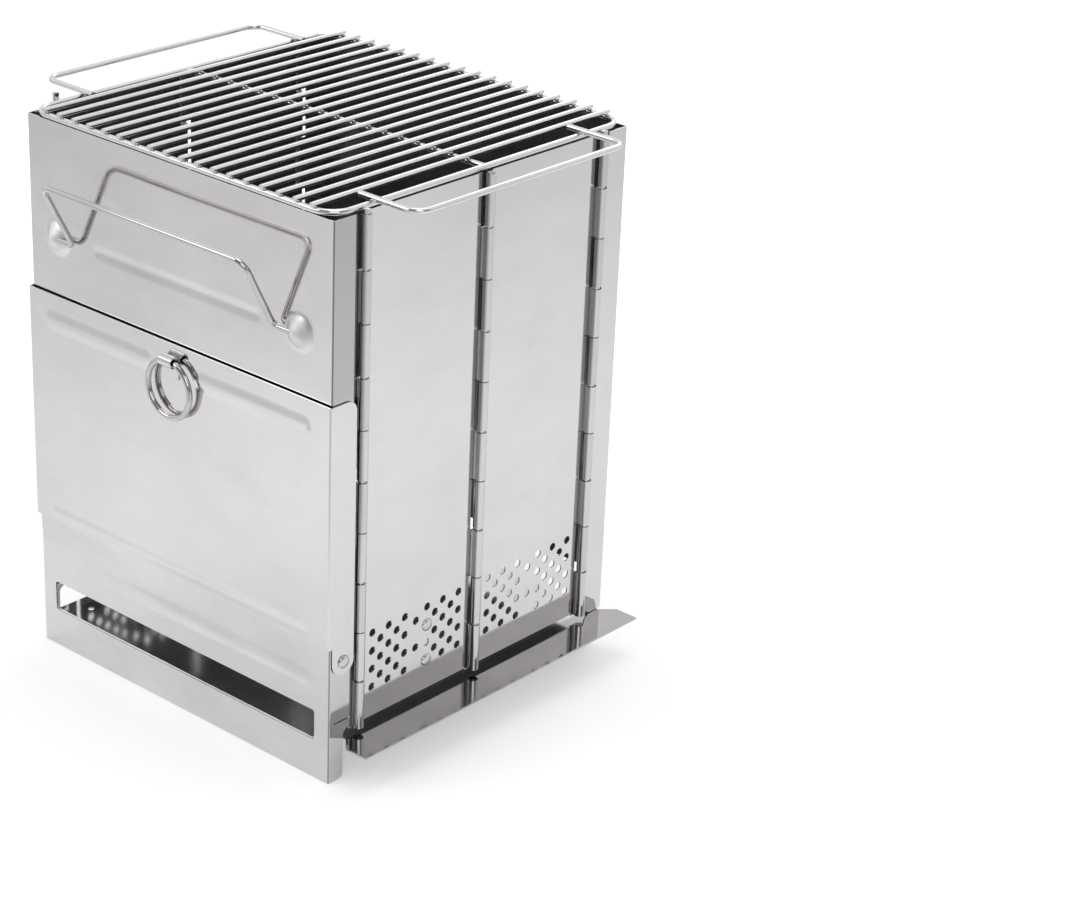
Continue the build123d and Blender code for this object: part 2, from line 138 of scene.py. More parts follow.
# Places where a finish changes, in metres from the middle of the ground under the stove
middle_depth = 0.00981  # the middle hinges, half-way between both pans
hinge_pitch = 0.086  # from one hinge to the next along a side
knuckle_reach = 0.003  # a knuckle's outside, measured from its pin
knuckle_flank = (0.0021, 0.0025)  # where its crown goes over into its flank
hinges_beyond = 0.1085  # the knuckles lie further out to the side
wall_inside = (0.1065, 0.104)  # from the inner face of the side walls inwards
pan_depth = -0.07  # the front pan and the door lie in front of this
bends_beyond = 0.105  # the folds of the front pan lie further out to the side
# The next three values place the painted shade on the front pan's folded flanges
side_facing = (0.35, 1.0)  # how far a face of a flange looks sideways, from its fold to its flat
door_edge = (0.19, 0.21)  # the front pan's flanges show above this, and are covered below
behind_door = 0.3  # share of the flanges' painted shade that is left where the door covers them
fire_facing = -0.6  # a face is an inner one when it looks outwards less than this
fire_bottom = 0.034  # the inner faces get painted shade and a rougher finish above this height
dome_side, dome_height = 0.087, 0.239  # middle of each pressed dome
dome_tone = (0.0112, 0.00532)  # from a dome's edge inwards

dome_blur = 0.55  # roughness that deep pressing adds to the two domes
# painted highlight: the brighter colour of the two domes
dome_highlight_colour = (0.82, 0.805, 0.82)
bend_shade_colour = (0.26, 0.255, 0.26)  # painted shade along the middle of the front pan's sharp bends
bend_shade_share = (0.35, 0.4333)  # product of a bend's sideways and forward facing where that shows


def steel(name, bright, smudged, gloss, smear, grain, waviness, inner=None, flange_shade=None,
          painted_light_inside=None, knuckle_shade=None):
    """Stainless steel: bright and smudged colours, gloss and its spread, brushing and waviness.

    inner is the colour and roughness of the faces inside the fire box: the colour is painted
    shade that darkens them, the roughness that of their unpolished side. The flange colour is
    painted shade on the folded flanges of the front pan. The colour for a level plate between
    the walls is painted light that brightens it there, with its own roughness. The knuckle
    colours are painted shade on rolled hinge knuckles, on their crown and darker on their flanks.
    """
    made = bpy.data.materials.new(name)
    made.use_nodes = True
    tree = made.node_tree
    tree.nodes.clear()
    tone = Tone(tree)
    place = tone.add("ShaderNodeTexCoord", output="Object")
    across, depth, height_up = tone.parts(place, 0, 1, 2)
    sideways = abs(across)

    # Finger marks: broad clouds, wiped streaks and small specks, over the brushing of the rolls
    cloud = stretched_grain(tone, place, (11.0, 11.0, 9.0), 4.0, 0.6)
    wipes = stretched_grain(tone, place, (26.0, 26.0, 75.0), 3.0, 0.6)
    specks = stretched_grain(tone, place, (240.0, 240.0, 200.0), 2.0, 0.6)
    brushing = stretched_grain(tone, place, (18.0, 18.0, 1500.0), 2.0, 0.7)
    marks = (
        (cloud * 2.6 - 0.85).limit() * 0.5
        + (wipes * 3.0 - 1.25).limit() * 0.3
        + (specks * 4.0 - 2.2).limit() * 0.2
    )
    colour = blend_colours(tone, marks.limit(), bright, smudged)
    roughness = gloss + smear * marks + grain * 0.25 * brushing

    # Painted light: a level plate is brighter where it lies between the walls, with its own
    # roughness
    if painted_light_inside:
        inside_light_colour, inside_roughness = painted_light_inside
        between_walls = sideways.ramp(*wall_inside)
        lit_marks_colour = blend_colours(tone, marks.limit(), inside_light_colour, smudged)
        colour = blend_colours(tone, between_walls, colour, lit_marks_colour)
        roughness = roughness + between_walls * (inside_roughness - gloss)
    # Painted shade on the rolled hinge knuckles: a darker crown, and darker flanks that stand in
    # for the dark gap beside them
    if knuckle_shade:
        crown, flank_shade = knuckle_shade
        hinges_off = (depth - middle_depth) * (1 / hinge_pitch)
        beside = abs(hinges_off - tone.math("ROUND", hinges_off)) * hinge_pitch
        knuckle_shade_mask = (beside < knuckle_reach) * (sideways > hinges_beyond)
        colour = blend_colours(tone, knuckle_shade_mask, colour, crown)
        colour = blend_colours(tone, knuckle_shade_mask * beside.ramp(*knuckle_flank), colour, flank_shade)
    if inner or flange_shade:
        facing = tone.add("ShaderNodeTexCoord", output="Normal")
        facing_x, facing_y = tone.parts(facing, 0, 1)
        # The two domes: rougher, and lighter by a painted highlight
        from_dome = tone.add(
            "ShaderNodeCombineXYZ", {}, {0: sideways - dome_side, 1: height_up - dome_height}
        )
        dome_blur_and_highlight = tone.length(from_dome).ramp(*dome_tone) * (depth < pan_depth)
        colour = blend_colours(tone, dome_blur_and_highlight, colour, dome_highlight_colour)
        roughness = roughness + dome_blur_and_highlight * dome_blur
    # Painted shade: the front pan's folded flanges are darker, less so where the door covers them
    if flange_shade:
        flange_shade_mask = abs(facing_x).ramp(*side_facing) * (depth < pan_depth)
        flange_shade_mask = flange_shade_mask * (behind_door + (1.0 - behind_door) * height_up.ramp(*door_edge))
        colour = blend_colours(tone, flange_shade_mask, colour, flange_shade)
        # Painted shade: a dark line along the middle of the front pan's sharp bends
        bend_shade_mask = (abs(facing_x) * abs(facing_y)).ramp(*bend_shade_share) * (sideways > bends_beyond)
        colour = blend_colours(tone, bend_shade_mask, colour, bend_shade_colour)
    # Painted shade on the faces inside the fire box, which also get the rougher roughness of their
    # unpolished side
    if inner:
        inner_shade_colour, inner_roughness = inner
        outwards_x = tone.math("SIGN", across)
        outwards_y = tone.math("SIGN", depth - middle_depth)
        outwards = facing_x * outwards_x + facing_y * outwards_y
        fire_side_shade = (outwards < fire_facing) * (height_up > fire_bottom)
        colour = blend_colours(tone, fire_side_shade, colour, inner_shade_colour)
        roughness = roughness + fire_side_shade * (inner_roughness - gloss)

    # Slight waves of thin sheet, and the brushing's fine lines
    flow = stretched_grain(tone, place, (9.0, 9.0, 6.0), 1.0, 0.4)
    height = flow * waviness + brushing * (grain * 0.000012)
    bump = tone.add("ShaderNodeBump", {}, {"Strength": 1.0, "Distance": 1.0, "Height": height})
    shader = tone.add(
        "ShaderNodeBsdfPrincipled",
        {},
        {
            "Base Color": colour,
            "Metallic": 1.0,
            "Roughness": roughness.limit(0.03, 0.9),
            "Normal": bump,
        },
    )
    tone.close("ShaderNodeOutputMaterial", shader)
    return made


polished_sheet = steel(
    "polished_sheet",
    bright=(0.72, 0.705, 0.72),
    smudged=(0.63, 0.615, 0.63),
    gloss=0.03,
    smear=0.10,
    grain=0.12,
    waviness=0.0008,
    inner=((0.33, 0.325, 0.33), 0.3),
    # painted shade on the knuckles rolled from the leaves
    knuckle_shade=((0.62, 0.61, 0.62), (0.27, 0.265, 0.27)),
)
pan_sheet = steel(
    "pan_sheet",
    bright=(0.71, 0.695, 0.71),
    smudged=(0.58, 0.565, 0.58),
    gloss=0.03,
    smear=0.10,
    grain=0.12,
    waviness=0.0009,
    inner=((0.33, 0.325, 0.33), 0.3),
    # painted shade on the front pan's folded flanges
    flange_shade=(0.47, 0.46, 0.47),
)

# Rounding of pressed creases and of cut edges: least and most fold in degrees, metres, steps
edge_rounding = ((10.5, 36.0, 0.0011, 4), (80.0, 150.0, 0.00012, 2))
rib_top = 0.0007  # a pressed rib with a flat top narrower than this gets one soft ridge
rib_corners = 20  # a rib's top has more corners than this, because its ends are round
front_face = -0.0961918
sheet_thickness = 0.0009  # a little over the real 0.8 mm
dome_opening = 0.01005  # radius that is cut out of the front pan for each dome
dome_places = [(side * dome_side, dome_height) for side in (1, -1)]


def round_edges(sheet):
    """Round the edges of a sheet whose fold lies between two angles, creases first."""
    for least, most, radius, steps in edge_rounding:
        folds = [
            edge
            for edge in sheet.edges
            if edge.is_manifold and least <= math.degrees(edge.calc_face_angle(0.0)) < most
        ]
        if folds:
            bmesh.ops.bevel(
                sheet, geom=folds, offset=radius, segments=steps, profile=0.5, affect="EDGES",
                clamp_overlap=False,
            )


def open_domes(sheet, places):
    """Cut the round pressings at the places (x, z) out of both faces and wall up the rim."""
    for x, z in places:
        pressed = [
            face
            for face, middle in [(face, face.calc_center_median()) for face in sheet.faces]
            if math.hypot(middle.x - x, middle.z - z) < dome_opening
            and middle.y < front_face + sheet_thickness
        ]
        bmesh.ops.delete(sheet, geom=pressed, context="FACES")
        rim = [edge for edge in sheet.edges if edge.is_boundary]
        bmesh.ops.bridge_loops(sheet, edges=rim)


def soften_narrow_ribs(sheet):
    """Draw the flat top of each narrow rib together to one ridge."""
    tops = [
        face
        for face in sheet.faces
        if len(face.verts) > rib_corners and abs(face.normal.y) > 0.999
        and 2 * face.calc_area() < rib_top * face.calc_perimeter()
    ]
    for top in tops:
        ridge = top.calc_center_median().z
        for vert in top.verts:
            vert.co.z = ridge
        bmesh.ops.remove_doubles(sheet, verts=top.verts[:], dist=rib_top)


def smooth_piece(name, shape, finish):
    """Turn a finished shape into a smooth-shaded object with one finish."""
    bmesh.ops.recalc_face_normals(shape, faces=shape.faces)
    for face in shape.faces:
        face.smooth = True
    mesh = bpy.data.meshes.new(name)
    shape.to_mesh(mesh)
    shape.free()
    mesh.materials.append(finish)
    piece = bpy.data.objects.new(name, mesh)
    bpy.context.scene.collection.objects.link(piece)
    return piece


def dress_sheet(node, name, body, finish, domes=()):
    """Stand in for a CAD sheet: the same solid, merged, with its edges rounded and shaded smooth.

    Round pressings at the places (x, z) in domes are opened, for a softer shape to close them.
    """
    sheet = bmesh.new()
    sheet.from_mesh(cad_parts[node].data)
    bmesh.ops.remove_doubles(sheet, verts=sheet.verts, dist=1e-6)
    bmesh.ops.dissolve_limit(
        sheet, angle_limit=math.radians(0.3), verts=sheet.verts, edges=sheet.edges
    )
    open_domes(sheet, domes)
    loose = [vert for vert in sheet.verts if not vert.link_faces]
    bmesh.ops.delete(sheet, geom=loose, context="VERTS")
    soften_narrow_ribs(sheet)
    round_edges(sheet)
    piece = smooth_piece(name, sheet, finish)
    flat = piece.modifiers.new("flat_faces", "WEIGHTED_NORMAL")
    flat.mode = "FACE_AREA"
    flat.weight = 80
    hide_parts(node)
    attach(piece, body)


dress_sheet("front_frame", "front_pan", "frame", pan_sheet, dome_places)

dome_spread = 0.0108
dome_rise = 0.0053
dome_wall = 0.0006
dome_proud = 0.00003  # keeps a dome's thin edge off the sheet's own face
dome_softness = 2.4  # how flat a dome runs out into the sheet
dome_rings, dome_sides = 16, 56
rim_fold = 50.0  # folds under this many degrees are shaded smooth

domes = bmesh.new()
for x, z in dome_places:
    edges_of_shells = []
    for sunk in (0.0, dome_wall):
        base = front_face - dome_proud + sunk
        rings = []
        for ring in range(1, dome_rings + 1):
            share = ring / dome_rings
            reach = dome_spread * share
            y = base - dome_rise * (1.0 - share**2) ** dome_softness
            turns = [2 * math.pi * side / dome_sides for side in range(dome_sides)]
            rings.append(
                [
                    domes.verts.new((x + reach * math.cos(turn), y, z + reach * math.sin(turn)))
                    for turn in turns
                ]
            )
        crown = domes.verts.new((x, base - dome_rise, z))
        for side in range(dome_sides):
            domes.faces.new((crown, rings[0][side], rings[0][(side + 1) % dome_sides]))
        for low, high in zip(rings, rings[1:]):
            for side in range(dome_sides):
                after = (side + 1) % dome_sides
                domes.faces.new((low[side], high[side], high[after], low[after]))
        edges_of_shells.append(rings[-1])
    outer, inner = edges_of_shells
    for side in range(dome_sides):
        after = (side + 1) % dome_sides
        domes.faces.new((outer[side], inner[side], inner[after], outer[after]))
bmesh.ops.recalc_face_normals(domes, faces=domes.faces)
for edge in domes.edges:
    edge.smooth = math.degrees(edge.calc_face_angle(0.0)) < rim_fold
bail_domes = smooth_piece("bail_domes", domes, pan_sheet)
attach(bail_domes, "frame")


# ---------------------------------------------------------------------------------------------
# Rear pan. A plain sheet of the same steel, folded forward at both sides; it ends just above
# the base plate, which slides out under it.
# ---------------------------------------------------------------------------------------------

dress_sheet("rear_panel", "rear_pan", "rear_panel", polished_sheet)


# ---------------------------------------------------------------------------------------------
# Hinge strips. Four stainless strips spot-welded inside the flanges of both pans; every second
# knuckle of each piano hinge is rolled from their free edge.
# ---------------------------------------------------------------------------------------------

hinge_steel = steel(
    "hinge_steel",
    bright=(0.62, 0.605, 0.62),
    smudged=(0.40, 0.39, 0.40),
    gloss=0.10,
    smear=0.12,
    grain=0.2,
    waviness=0.0,
    # painted shade on the knuckles rolled from the strips
    knuckle_shade=((0.58, 0.57, 0.58), (0.27, 0.265, 0.27)),
)

for end, body in (("front", "frame"), ("rear", "rear_panel")):
    for side in ("left", "right"):
        dress_sheet(
            f"{end}_hinge_strip_{side}", f"{end}_strip_{side}", body, hinge_steel
        )


# ---------------------------------------------------------------------------------------------
# Side leaves. Two stainless sheets to a side, which fold inwards between three piano hinges,
# with knuckles rolled from the sheet itself and staggered air holes in their lower part.
# ---------------------------------------------------------------------------------------------

for side in ("right", "left"):
    for end in ("front", "rear"):
        leaf = f"{side}_{end}_leaf"
        dress_sheet(leaf, f"{side}_{end}_wall", leaf, polished_sheet)


# ---------------------------------------------------------------------------------------------
# Hinge pins. Six straight stainless wires, one through all ten knuckles of a hinge, their ends
# slightly chamfered where they were cut.
# ---------------------------------------------------------------------------------------------

def new_tree(name, **sizes):
    """An empty geometry tree with its group nodes; sizes gives the kind of each named input."""
    tree = bpy.data.node_groups.new(name, "GeometryNodeTree")
    tree.is_modifier = True
    for way in ("OUTPUT", "INPUT"):
        tree.interface.new_socket("Geometry", in_out=way, socket_type="NodeSocketGeometry")
    for label, kind in sizes.items():
        tree.interface.new_socket(label, in_out="INPUT", socket_type=f"NodeSocket{kind}")
    return tree, tree.nodes.new("NodeGroupInput"), tree.nodes.new("NodeGroupOutput")


def bent_wire_tree():
    """Geometry nodes that turn a route of straight runs into one bent wire with blunted ends."""
    tree, given, made = new_tree(
        "bent_wire", radius="Float", end_size="Float", sides="Int", bend_steps="Int",
        finish="Material",
    )
    bend_radius = tree.nodes.new("GeometryNodeInputRadius")
    bends = tree.nodes.new("GeometryNodeFilletCurve")
    bends.mode = "POLY"
    even = tree.nodes.new("GeometryNodeSetCurveRadius")
    even.inputs["Radius"].default_value = 1.0
    ends = tree.nodes.new("GeometryNodeCurveEndpointSelection")
    blunt = tree.nodes.new("GeometryNodeSetCurveRadius")
    round_section = tree.nodes.new("GeometryNodeCurvePrimitiveCircle")
    drawn = tree.nodes.new("GeometryNodeCurveToMesh")
    drawn.inputs["Fill Caps"].default_value = True
    smooth = tree.nodes.new("GeometryNodeSetShadeSmooth")
    realized = tree.nodes.new("GeometryNodeRealizeInstances")
    finished = tree.nodes.new("GeometryNodeSetMaterial")
    for start, out, end, into in (
        (given, "Geometry", bends, "Curve"),
        (bend_radius, "Radius", bends, "Radius"),
        (given, "bend_steps", bends, "Count"),
        (bends, "Curve", even, "Curve"),
        (even, "Curve", blunt, "Curve"),
        (ends, "Selection", blunt, "Selection"),
        (given, "end_size", blunt, "Radius"),
        (blunt, "Curve", drawn, "Curve"),
        (given, "sides", round_section, "Resolution"),
        (given, "radius", round_section, "Radius"),
        (round_section, "Curve", drawn, "Profile Curve"),
        (drawn, "Mesh", smooth, "Geometry"),
        (smooth, "Geometry", realized, "Geometry"),
        (realized, "Geometry", finished, "Geometry"),
        (given, "finish", finished, "Material"),
        (finished, "Geometry", made, "Geometry"),
    ):
        tree.links.new(start.outputs[out], end.inputs[into])
    return tree


bent_wire = bent_wire_tree()
wire_sides, wire_bend_steps = 24, 10


def grow(base, tree, **sizes):
    """Run a geometry tree on an object and keep the result as a plain mesh of the same name."""
    name = base.name
    bpy.context.scene.collection.objects.link(base)
    growth = base.modifiers.new("growth", "NODES")
    growth.node_group = tree
    for item in tree.interface.items_tree:
        if item.in_out == "INPUT" and item.name in sizes:
            growth[item.identifier] = sizes[item.name]
    bpy.context.view_layer.update()
    shape = base.evaluated_get(bpy.context.evaluated_depsgraph_get())
    mesh = bpy.data.meshes.new_from_object(shape)
    base.modifiers.remove(growth)
    bpy.data.objects.remove(base)
    mesh.name = name
    cleaned = bmesh.new()
    cleaned.from_mesh(mesh)
    bmesh.ops.remove_doubles(cleaned, verts=cleaned.verts, dist=1e-7)
    bmesh.ops.recalc_face_normals(cleaned, faces=cleaned.faces)
    cleaned.to_mesh(mesh)
    cleaned.free()
    piece = bpy.data.objects.new(name, mesh)
    bpy.context.scene.collection.objects.link(piece)
    return piece


def wire_piece(name, route, bends, radius, finish, closed=False, blunt=0.0004, end_size=0.72):
    """One wire along straight runs; bends gives the radius at each point, in metres."""
    points = [Vector(point) for point in route]
    turns = list(bends)
    if not closed:
        first = points[0] + (points[1] - points[0]).normalized() * blunt
        last = points[-1] + (points[-2] - points[-1]).normalized() * blunt
        points = [points[0], first, *points[1:-1], last, points[-1]]
        turns = [0.0, 0.0, *turns[1:-1], 0.0, 0.0]
    line = bpy.data.curves.new(name, "CURVE")
    line.dimensions = "3D"
    spline = line.splines.new("POLY")
    spline.points.add(len(points) - 1)
    for knot, point, turn in zip(spline.points, points, turns):
        knot.co = (*point, 1.0)
        knot.radius = turn
    spline.use_cyclic_u = closed
    return grow(
        bpy.data.objects.new(name, line),
        bent_wire,
        radius=radius,
        end_size=1.0 if closed else end_size,
        sides=wire_sides,
        bend_steps=wire_bend_steps,
        finish=finish,
    )


pin_radius = 0.0018
for node, body in (
    ("front_hinge_pin_right", "frame"),
    ("front_hinge_pin_left", "frame"),
    ("middle_hinge_pin_right", "right_front_leaf"),
    ("middle_hinge_pin_left", "left_front_leaf"),
    ("rear_hinge_pin_right", "rear_panel"),
    ("rear_hinge_pin_left", "rear_panel"),
):
    low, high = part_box(node)
    middle = (low + high) / 2
    pin = wire_piece(
        node.replace("_hinge_pin", "_pin"),
        [(middle.x, middle.y, low.z), (middle.x, middle.y, high.z)],
        [0.0, 0.0],
        pin_radius,
        hinge_steel,
        blunt=0.00045,
        end_size=0.75,
    )
    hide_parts(node)
    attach(pin, body)


# ---------------------------------------------------------------------------------------------
# Leaf stays and their rivets. A short stainless strap inside each front leaf, held through two
# of the air holes by pressed steel rivets with low domed heads.
# ---------------------------------------------------------------------------------------------

rivet_steel = steel(
    "rivet_steel",
    bright=(0.66, 0.645, 0.66),
    smudged=(0.55, 0.54, 0.55),
    gloss=0.16,
    smear=0.12,
    grain=0.0,
    waviness=0.0,
)
rivet_sides = 28
rivet_head = 0.0012  # height of a head over the sheet
stay_shank, door_shank = 0.0021, 0.0019
# a head's outline as shares of its height and radius, from the sheet to its middle
head_outline = ((0.0, 1.0), (0.30, 0.96), (0.62, 0.84), (0.86, 0.6), (0.97, 0.3), (1.0, 0.06))


def turned_rivet(shape, centre, outwards, stations):
    """Add one turned solid to a shape; stations are (place along x, radius) from the inside out."""
    y, z = centre
    turns = [2 * math.pi * side / rivet_sides for side in range(rivet_sides)]
    rings = [
        [
            shape.verts.new(
                (along * outwards, y + radius * math.cos(turn), z + radius * math.sin(turn))
            )
            for turn in turns
        ]
        for along, radius in stations
    ]
    for low, high in zip(rings, rings[1:]):
        for side in range(rivet_sides):
            after = (side + 1) % rivet_sides
            shape.faces.new((low[side], low[after], high[after], high[side]))
    shape.faces.new(rings[0])
    shape.faces.new(rings[-1])


def rivet_pair(node, name, body, places, stations):
    """Replace a CAD pair of rivets by turned ones with domed heads."""
    shape = bmesh.new()
    for side, y, z in places:
        turned_rivet(shape, (y, z), side, stations)
    piece = smooth_piece(name, shape, rivet_steel)
    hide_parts(node)
    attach(piece, body)


def domed_stations(inner_face, outer_face, head_radius, shank_radius):
    """Stations of a rivet: inner head, shank, outer head."""
    inner = [(inner_face - rivet_head * up, head_radius * out) for up, out in head_outline]
    outer = [(outer_face + rivet_head * up, head_radius * out) for up, out in head_outline]
    return [*inner[::-1], (inner_face, shank_radius), (outer_face, shank_radius), *outer]


for side, outwards in (("right", 1), ("left", -1)):
    dress_sheet(
        f"leaf_stay_{side}", f"stay_{side}", f"{side}_front_leaf", polished_sheet
    )
    low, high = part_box(f"leaf_rivets_{side}")
    y = (low.y + high.y) / 2
    head = (high.y - low.y) / 2
    near = min(abs(low.x), abs(high.x)) + rivet_head
    far = max(abs(low.x), abs(high.x)) - rivet_head
    rivet_pair(
        f"leaf_rivets_{side}",
        f"stay_rivets_{side}",
        f"{side}_front_leaf",
        [(outwards, y, low.z + head), (outwards, y, high.z - head)],
        domed_stations(near, far, head, stay_shank),
    )


# ---------------------------------------------------------------------------------------------
# Feed door. A stainless pan that wraps the front pan, with two pressed ribs at the top and one
# at the bottom; each side flange ends in a round leg that turns on a rivet.
# ---------------------------------------------------------------------------------------------

dress_sheet("door", "feed_door", "door", polished_sheet)
rivet_inside = 0.1066  # inner face of the hinge strips behind the flanges
low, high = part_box("door_rivets")
head = (high.z - low.z) / 2
y, z = (low.y + high.y) / 2, (low.z + high.z) / 2
rivet_pair(
    "door_rivets",
    "door_hinge_rivets",
    "frame",
    [(1, y, z), (-1, y, z)],
    domed_stations(rivet_inside, high.x - rivet_head, head, door_shank),
)


# ---------------------------------------------------------------------------------------------
# Ring clip and pull ring. A narrow stainless strap rolled round the ring's wire and spot-welded
# to the door; the ring is one closed loop of bright wire that hangs in it.
# ---------------------------------------------------------------------------------------------

dress_sheet("ring_clip", "ring_strap", "door", polished_sheet)

bright_wire = steel(
    "bail_wire",
    bright=(0.62, 0.605, 0.62),
    smudged=(0.44, 0.43, 0.44),
    gloss=0.08,
    smear=0.08,
    grain=0.0,
    waviness=0.0,
)

low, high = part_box("door_ring")
ring_wire = (high.y - low.y) / 2
ring_centre = (low + high) / 2
ring_radius = (high.x - low.x) / 2 - ring_wire
ring_points = 72
ring_turns = [2 * math.pi * point / ring_points for point in range(ring_points)]
ring = wire_piece(
    "pull_ring",
    [
        ring_centre + ring_radius * Vector((math.cos(turn), 0.0, math.sin(turn)))
        for turn in ring_turns
    ],
    [0.0] * ring_points,
    ring_wire,
    bright_wire,
    closed=True,
)
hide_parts("door_ring")
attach(ring, "ring")


# ---------------------------------------------------------------------------------------------
# Carrying bail. One stainless wire bent to a wide loop; its two ends turn outwards and sit in
# the pressed domes of the front pan, where the bail swings.
# ---------------------------------------------------------------------------------------------

low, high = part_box("carry_handle")
bail_radius = 0.0016
bail_end = high.x
bail_leg = 0.0723  # half the width of the grip
bail_foot_bend, bail_grip_bend = 0.0034, 0.007
bail_foot = Vector((0.0, high.y - bail_radius, low.z + bail_radius))
bail_grip = Vector((0.0, low.y + bail_radius, high.z - bail_radius))
bail = wire_piece(
    "carry_bail",
    [
        (-bail_end, bail_foot.y, bail_foot.z),
        (-bail_leg, bail_foot.y, bail_foot.z),
        (-bail_leg, bail_grip.y, bail_grip.z),
        (bail_leg, bail_grip.y, bail_grip.z),
        (bail_leg, bail_foot.y, bail_foot.z),
        (bail_end, bail_foot.y, bail_foot.z),
    ],
    [0.0, bail_foot_bend, bail_grip_bend, bail_grip_bend, bail_foot_bend, 0.0],
    bail_radius,
    bright_wire,
)
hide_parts("carry_handle")
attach(bail, "bail")


# ---------------------------------------------------------------------------------------------
# Base plate. A mirror-bright stainless plate that lies in the ash slot and on its own folded
# rear edge; its wing sticks out at the right, and one small hole is drilled near the front.
# ---------------------------------------------------------------------------------------------

plate_sheet = steel(
    "plate_sheet",
    bright=(0.50, 0.485, 0.50),
    smudged=(0.32, 0.31, 0.32),
    gloss=0.04,
    smear=0.10,
    grain=0.15,
    waviness=0.0015,
    # painted light on the plate between the walls
    painted_light_inside=((0.84, 0.83, 0.84), 0.08),
)
dress_sheet("base_plate", "ash_plate", "base_plate", plate_sheet)


# ---------------------------------------------------------------------------------------------
# Grill frame. One closed loop of bright drawn wire with rounded corners that rests on the top
# edges of the front and the rear pan.
# ---------------------------------------------------------------------------------------------

grill_steel = steel(
    "grill_wire",
    bright=(0.76, 0.745, 0.76),
    smudged=(0.64, 0.63, 0.64),
    gloss=0.12,
    smear=0.10,
    grain=0.0,
    waviness=0.0,
)

low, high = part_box("grill_frame")
rim_wire = (high.z - low.z) / 2
rim_z = (low.z + high.z) / 2
rim_corner = 0.012
left, right = low.x + rim_wire, high.x - rim_wire
front, back = low.y + rim_wire, high.y - rim_wire
rim = wire_piece(
    "grill_rim",
    [(right, front, rim_z), (right, back, rim_z), (left, back, rim_z), (left, front, rim_z)],
    [rim_corner] * 4,
    rim_wire,
    grill_steel,
    closed=True,
)
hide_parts("grill_frame")
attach(rim, "grill")


# ---------------------------------------------------------------------------------------------
# Grill bars and cross bar. Eighteen straight wires welded across the rim, with one more wire
# across their middle on the underside.
# ---------------------------------------------------------------------------------------------

def bar_row_tree():
    """Geometry nodes for a row of equal straight wires with blunted ends."""
    tree, given, made = new_tree(
        "bar_row", bars="Int", first_bar="Vector", pitch="Vector", length="Float",
        radius="Float", blunt_end="Float", finish="Material",
    )
    row = tree.nodes.new("GeometryNodeMeshLine")
    row.mode = "OFFSET"
    run = tree.nodes.new("ShaderNodeCombineXYZ")
    line = tree.nodes.new("GeometryNodeCurvePrimitiveLine")
    stations = tree.nodes.new("GeometryNodeResampleCurve")
    stations.mode = "LENGTH"
    ends = tree.nodes.new("GeometryNodeCurveEndpointSelection")
    blunt = tree.nodes.new("GeometryNodeSetCurveRadius")
    blunt.inputs["Radius"].default_value = 0.7
    section = tree.nodes.new("GeometryNodeCurvePrimitiveCircle")
    section.inputs["Resolution"].default_value = 20
    drawn = tree.nodes.new("GeometryNodeCurveToMesh")
    drawn.inputs["Fill Caps"].default_value = True
    placed = tree.nodes.new("GeometryNodeInstanceOnPoints")
    smooth = tree.nodes.new("GeometryNodeSetShadeSmooth")
    realized = tree.nodes.new("GeometryNodeRealizeInstances")
    finished = tree.nodes.new("GeometryNodeSetMaterial")
    for start, out, end, into in (
        (given, "bars", row, "Count"),
        (given, "first_bar", row, "Start Location"),
        (given, "pitch", row, "Offset"),
        (given, "length", run, "Y"),
        (run, "Vector", line, "End"),
        (line, "Curve", stations, "Curve"),
        (given, "blunt_end", stations, "Length"),
        (stations, "Curve", blunt, "Curve"),
        (ends, "Selection", blunt, "Selection"),
        (blunt, "Curve", drawn, "Curve"),
        (given, "radius", section, "Radius"),
        (section, "Curve", drawn, "Profile Curve"),
        (row, "Mesh", placed, "Points"),
        (drawn, "Mesh", smooth, "Geometry"),
        (smooth, "Geometry", placed, "Instance"),
        (placed, "Instances", realized, "Geometry"),
        (realized, "Geometry", finished, "Geometry"),
        (given, "finish", finished, "Material"),
        (finished, "Geometry", made, "Geometry"),
    ):
        tree.links.new(start.outputs[out], end.inputs[into])
    return tree


bar_row = bar_row_tree()
low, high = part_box("grill_bars")
bar_radius = 0.0015
bar_blunt_end = 0.0006
bar_count = 18
bar_z = (low.z + high.z) / 2
bar_pitch = (high.x - low.x - 2 * bar_radius) / (bar_count - 1)
bars = grow(
    bpy.data.objects.new("grill_wires", bpy.data.meshes.new("grill_wires")),
    bar_row,
    bars=bar_count,
    first_bar=(low.x + bar_radius, low.y, bar_z),
    pitch=(bar_pitch, 0.0, 0.0),
    length=high.y - low.y,
    radius=bar_radius,
    blunt_end=bar_blunt_end,
    finish=grill_steel,
)
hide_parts("grill_bars")
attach(bars, "grill")

low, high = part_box("grill_cross_bar")
y, z = (low.y + high.y) / 2, (low.z + high.z) / 2
cross = wire_piece(
    "grill_cross_wire",
    [(low.x, y, z), (high.x, y, z)],
    [0.0, 0.0],
    (high.z - low.z) / 2,
    grill_steel,
)
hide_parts("grill_cross_bar")
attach(cross, "grill")


# ---------------------------------------------------------------------------------------------
# Grill handles. Two U-shaped wires welded on top of the rim, one at each side, by which the
# grill is lifted off.
# ---------------------------------------------------------------------------------------------

